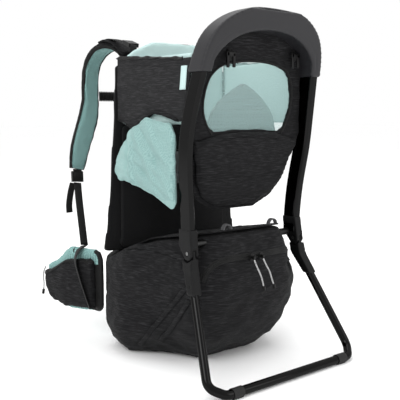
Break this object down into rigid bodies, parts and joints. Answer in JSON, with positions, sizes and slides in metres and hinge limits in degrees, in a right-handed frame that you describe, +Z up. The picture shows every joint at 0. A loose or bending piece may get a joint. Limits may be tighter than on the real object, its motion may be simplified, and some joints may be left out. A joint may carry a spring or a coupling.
{
  "type": "baby carrier backpack",
  "caption": "Framed child carrier backpack with a tall rear hoop, folding stand, child cockpit, lower storage bag, padded shoulder straps and hip belt.",
  "frame": {"origin": "on the floor, under the middle of the carrier's box", "axes": "+X the wearer's right, +Y the way the wearer faces, +Z up"},
  "size_m": [0.513, 0.6493, 0.75],
  "materials": {
    "gloss_tube": "gloss black lacquer",
    "grey_cap": "matte warm grey",
    "grey_plastic": "matte grey",
    "steel": "brushed",
    "rubber": "matte",
    "alloy": "satin",
    "black_plastic": "matte black",
    "mesh_pad": "spacer mesh",
    "aqua_cloth": "soft aqua lining",
    "aqua_foam": "aqua spacer mesh over foam",
    "aqua_mesh": "open mesh",
    "heather_cloth": "heathered charcoal",
    "smooth_cloth": "smooth charcoal",
    "seat_cloth": "grey lining",
    "webbing": "woven webbing",
    "cord_grey": "braided cord"
  },
  "bodies": {
    "frame": {"back_board": "black_plastic", "back_frame_tube": "alloy", "back_pad": "mesh_pad", "bag_flap": "heather_cloth", "bag_lid": "heather_cloth", "base_frame": "alloy", "front_lining": "aqua_cloth", "front_wall": "smooth_cloth", "hinge_cover_left": "grey_plastic", "hinge_cover_right": "grey_plastic", "hinge_pins": "steel", "hoop_cap": "grey_cap", "hoop_tube": "gloss_tube", "lid_loops": "webbing", "lifter_buckles": "black_plastic", "lower_web_left": "webbing", "lower_web_right": "webbing", "lumbar_pad": "mesh_pad", "panel_hooks": "black_plastic", "rear_panel": "heather_cloth", "rear_pouch": "heather_cloth", "seat_wing_left": "aqua_cloth", "seat_wing_right": "aqua_cloth", "shroud_left": "smooth_cloth", "shroud_right": "smooth_cloth", "side_panel_left": "heather_cloth", "side_panel_right": "heather_cloth", "storage_bag": "heather_cloth", "torso_track": "black_plastic", "window_mesh": "aqua_mesh", "zip_track": "webbing"},
    "stand": {"stand_tube": "gloss_tube", "stand_knuckle_left": "grey_plastic", "stand_knuckle_right": "grey_plastic", "stand_pad_left": "rubber", "stand_pad_right": "rubber"},
    "harness": {"yoke": "black_plastic", "shoulder_pad_left": "aqua_foam", "shoulder_pad_right": "aqua_foam", "lifter_web_left": "webbing", "lifter_web_right": "webbing", "ladder_locks": "black_plastic"},
    "sternum": {"sternum_strap": "webbing", "sternum_buckle": "black_plastic"},
    "seat": {"seat_saddle": "seat_cloth", "seat_carrier": "black_plastic"},
    "wing_left": {"hip_pad_left": "aqua_foam", "hip_pocket_left": "heather_cloth", "belt_cord_left": "cord_grey", "belt_toggle_left": "black_plastic"},
    "wing_right": {"hip_pad_right": "aqua_foam", "hip_pocket_right": "heather_cloth", "belt_cord_right": "cord_grey", "belt_toggle_right": "black_plastic"},
    "zip_left": {"zip_slider_left": "black_plastic", "zip_cord_left": "cord_grey", "zip_toggle_left": "black_plastic"},
    "zip_right": {"zip_slider_right": "black_plastic", "zip_cord_right": "cord_grey", "zip_toggle_right": "black_plastic"}
  },
  "joints": [
    {"name": "stand_fold", "type": "hinge", "parent": "frame", "child": "stand", "pos_m": [0, -0.172, 0.262], "axis": [1, 0, 0], "range_deg": [0, 32]},
    {"name": "yoke_slide", "type": "slide", "parent": "frame", "child": "harness", "axis": [0, 0, 1], "range_m": [-0.03, 0.01], "deforming": ["lower_web_left", "lower_web_right"]},
    {"name": "sternum_slide", "type": "slide", "parent": "harness", "child": "sternum", "axis": [0, 0, 1], "range_m": [-0.015, 0.015]},
    {"name": "seat_slide", "type": "slide", "parent": "frame", "child": "seat", "axis": [0, 0, 1], "range_m": [0, 0.04]},
    {"name": "wing_left_swing", "type": "hinge", "parent": "frame", "child": "wing_left", "pos_m": [-0.186, 0.13, 0.145], "axis": [0, 0, 1], "range_deg": [-24, 0]},
    {"name": "wing_right_swing", "type": "hinge", "parent": "frame", "child": "wing_right", "pos_m": [0.186, 0.13, 0.145], "axis": [0, 0, 1], "range_deg": [0, 24]},
    {"name": "zip_left_slide", "type": "slide", "parent": "frame", "child": "zip_left", "axis": [1, 0, 0], "range_m": [-0.03, 0]},
    {"name": "zip_right_slide", "type": "slide", "parent": "frame", "child": "zip_right", "axis": [1, 0, 0], "range_m": [0, 0.03]}
  ]
}
